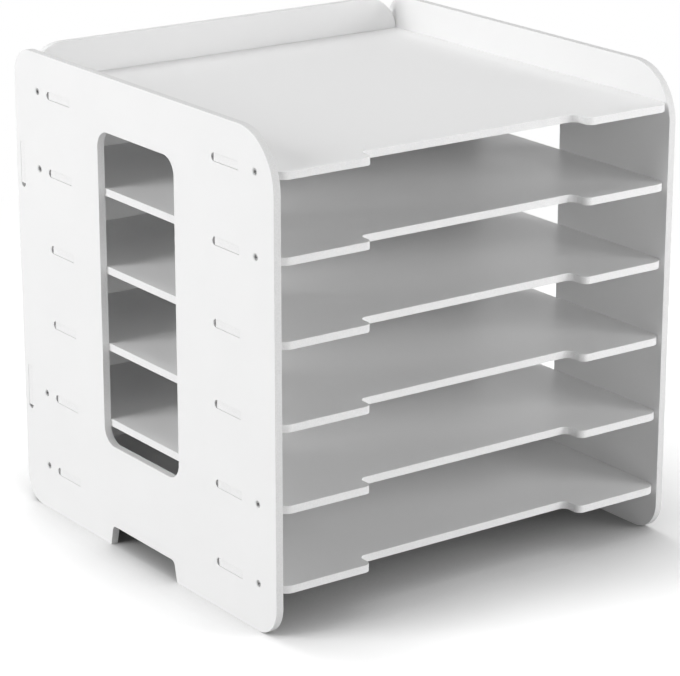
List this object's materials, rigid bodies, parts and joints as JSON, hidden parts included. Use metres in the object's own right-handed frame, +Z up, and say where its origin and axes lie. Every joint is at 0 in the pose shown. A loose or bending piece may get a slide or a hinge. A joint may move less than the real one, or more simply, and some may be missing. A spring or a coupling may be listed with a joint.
{
  "type": "paper storage organizer",
  "caption": "Desktop organizer with fixed shelves for square scrapbook sheets, open at the front, with slotted board sides, a back panel and a raised rim round the top shelf.",
  "frame": {"origin": "on the floor, in the middle of the footprint", "axes": "+X across to the right as seen from the front, +Y from the open front to the back panel, +Z up"},
  "size_m": [0.3204, 0.313, 0.327],
  "materials": {
    "board": "satin white rigid foam board, routed edges",
    "screw": "zinc plated, cross recessed"
  },
  "bodies": {
    "root": {"bottom_shelf": "board", "fifth_shelf": "board", "fourth_shelf": "board", "third_shelf": "board", "second_shelf": "board", "top_shelf": "board", "back_panel": "board", "left_side_panel": "board", "right_side_panel": "board", "bottom_shelf_screw_left_front": "screw", "fifth_shelf_screw_left_front": "screw", "second_shelf_screw_left_front": "screw", "top_shelf_screw_left_front": "screw", "bottom_shelf_screw_left_rear": "screw", "fifth_shelf_screw_left_rear": "screw", "second_shelf_screw_left_rear": "screw", "top_shelf_screw_left_rear": "screw", "bottom_shelf_screw_right_front": "screw", "fifth_shelf_screw_right_front": "screw", "second_shelf_screw_right_front": "screw", "top_shelf_screw_right_front": "screw", "bottom_shelf_screw_right_rear": "screw", "fifth_shelf_screw_right_rear": "screw", "second_shelf_screw_right_rear": "screw", "top_shelf_screw_right_rear": "screw"}
  },
  "joints": []
}
